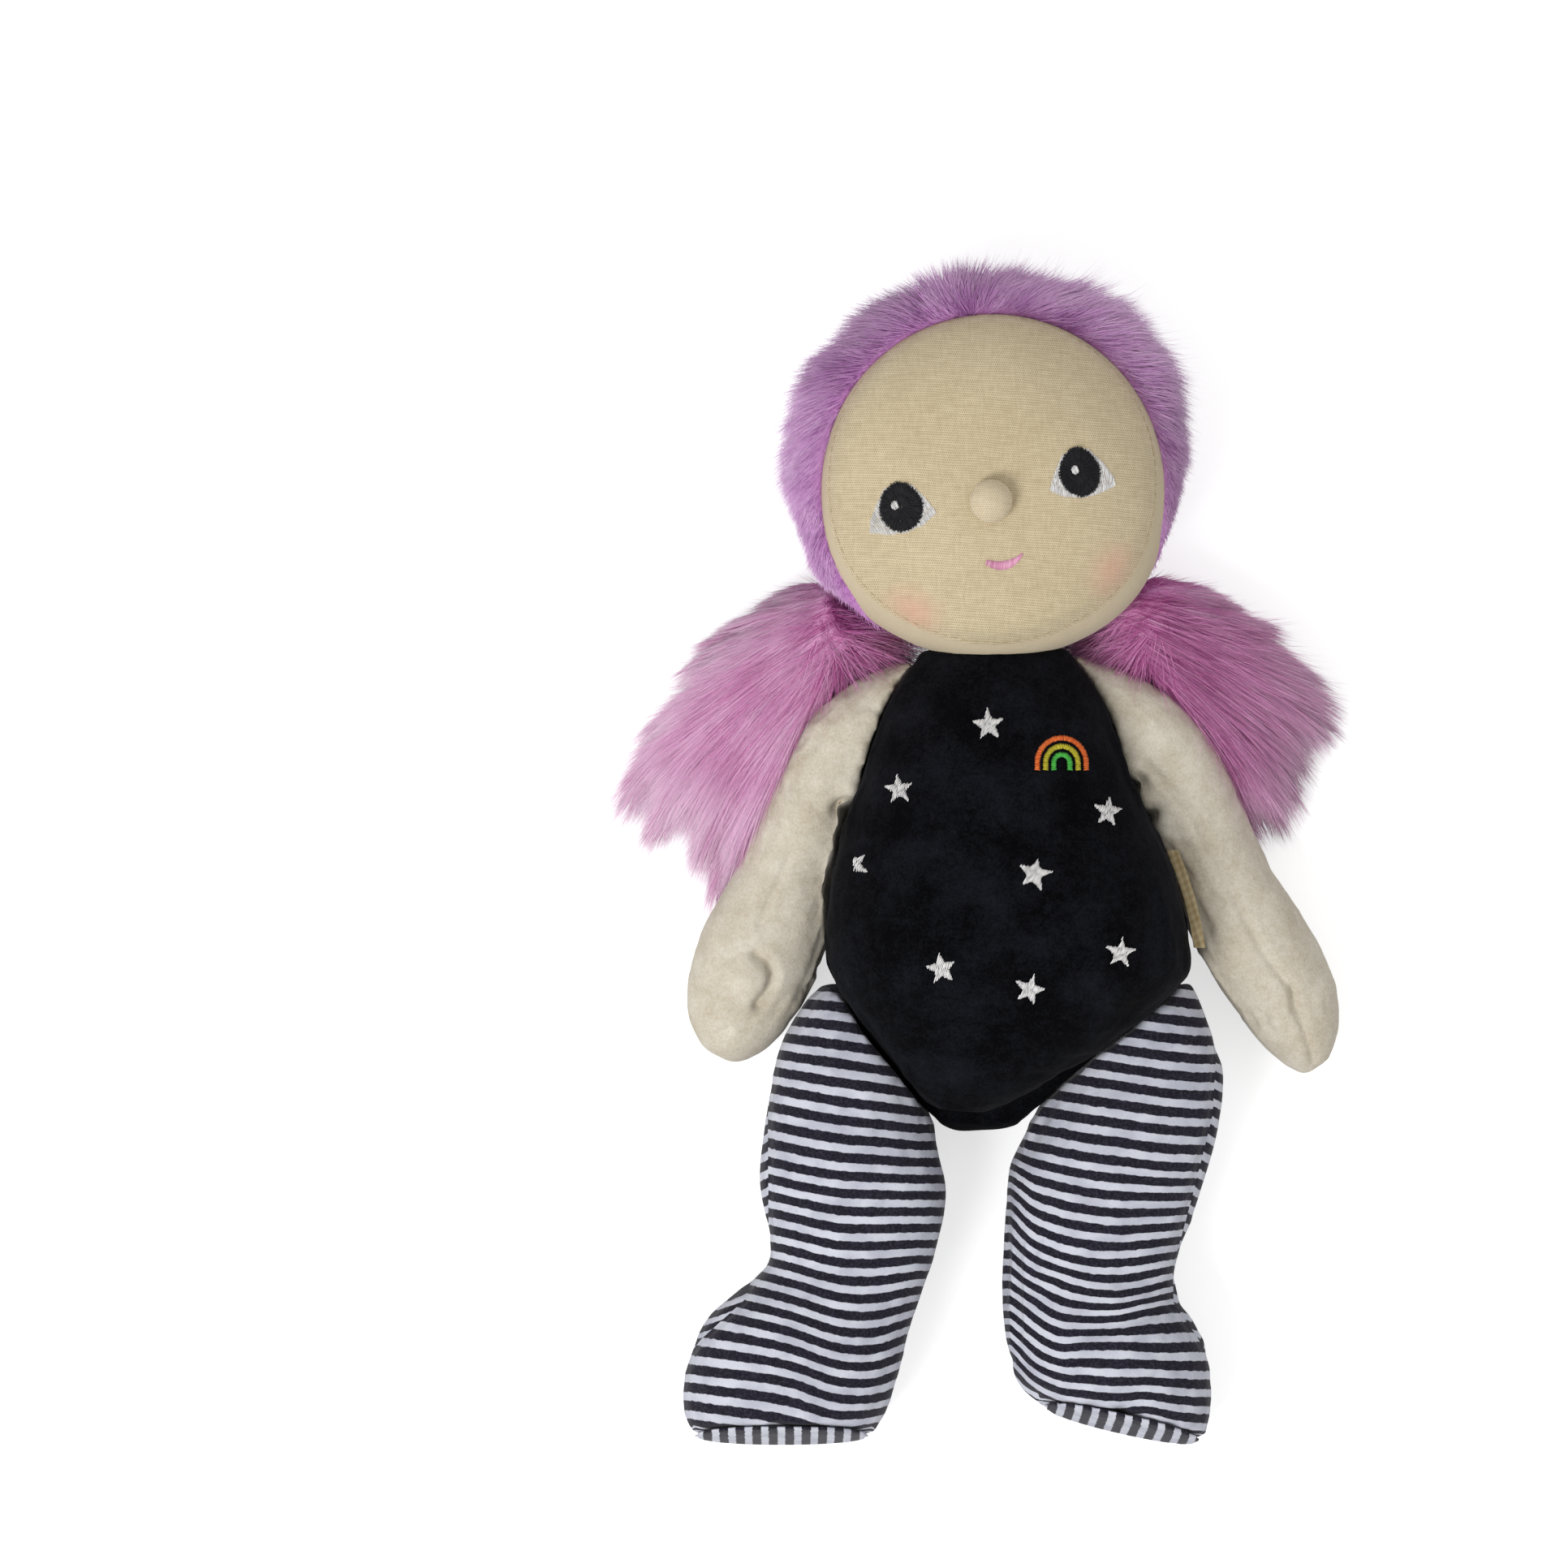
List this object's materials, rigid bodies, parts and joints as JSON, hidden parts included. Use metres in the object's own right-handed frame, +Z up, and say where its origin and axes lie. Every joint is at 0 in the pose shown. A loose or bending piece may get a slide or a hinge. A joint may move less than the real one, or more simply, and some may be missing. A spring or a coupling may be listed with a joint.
{
  "type": "rag doll",
  "caption": "Soft stuffed rag doll on its back, with a cotton face, faux-fur hair in pigtails, a dark starry suit and striped footed legs.",
  "frame": {"origin": "on the table under the middle of the doll's outline", "axes": "+Y from the feet to the top of the head, +X to the doll's own left, +Z up from its back to its face"},
  "size_m": [0.2305, 0.3501, 0.092],
  "materials": {
    "cotton": "woven cotton, matt, plain weave, pale beige",
    "velour_cream": "short-pile velour, matt, cream",
    "fur_lilac": "short faux fur, soft sheen, lilac",
    "fur_pink": "long faux fur, soft sheen, pink",
    "velour_navy": "short-pile velour, matt, very dark navy",
    "velour_stripe": "short-pile velour, matt, printed with white and navy stripes",
    "thread_white": "white embroidery thread, satin",
    "thread_black": "black embroidery thread, satin",
    "thread_pink": "pink embroidery thread, satin",
    "thread_orange": "orange embroidery thread, satin",
    "thread_yellow": "yellow embroidery thread, satin",
    "thread_green": "green embroidery thread, satin",
    "label_tan": "folded woven tape, matt, tan"
  },
  "bodies": {
    "root": {"head": "velour_cream", "face_panel": "cotton", "nose": "cotton", "eye_white_right": "thread_white", "eye_white_left": "thread_white", "iris_right": "thread_black", "iris_left": "thread_black", "eye_glint_right": "thread_white", "eye_glint_left": "thread_white", "mouth": "thread_pink", "hair_cap": "fur_lilac", "pigtail_right": "fur_pink", "pigtail_left": "fur_pink", "body_front": "velour_navy", "body_back": "velour_navy", "arm_right": "velour_cream", "arm_left": "velour_cream", "leg_right": "velour_stripe", "leg_left": "velour_stripe", "sole_right": "velour_stripe", "sole_left": "velour_stripe", "star_1": "thread_white", "star_2": "thread_white", "star_3": "thread_white", "star_4": "thread_white", "star_5": "thread_white", "star_6": "thread_white", "star_7": "thread_white", "star_8": "thread_white", "rainbow_orange": "thread_orange", "rainbow_yellow": "thread_yellow", "rainbow_green": "thread_green", "side_label": "label_tan"}
  },
  "joints": []
}
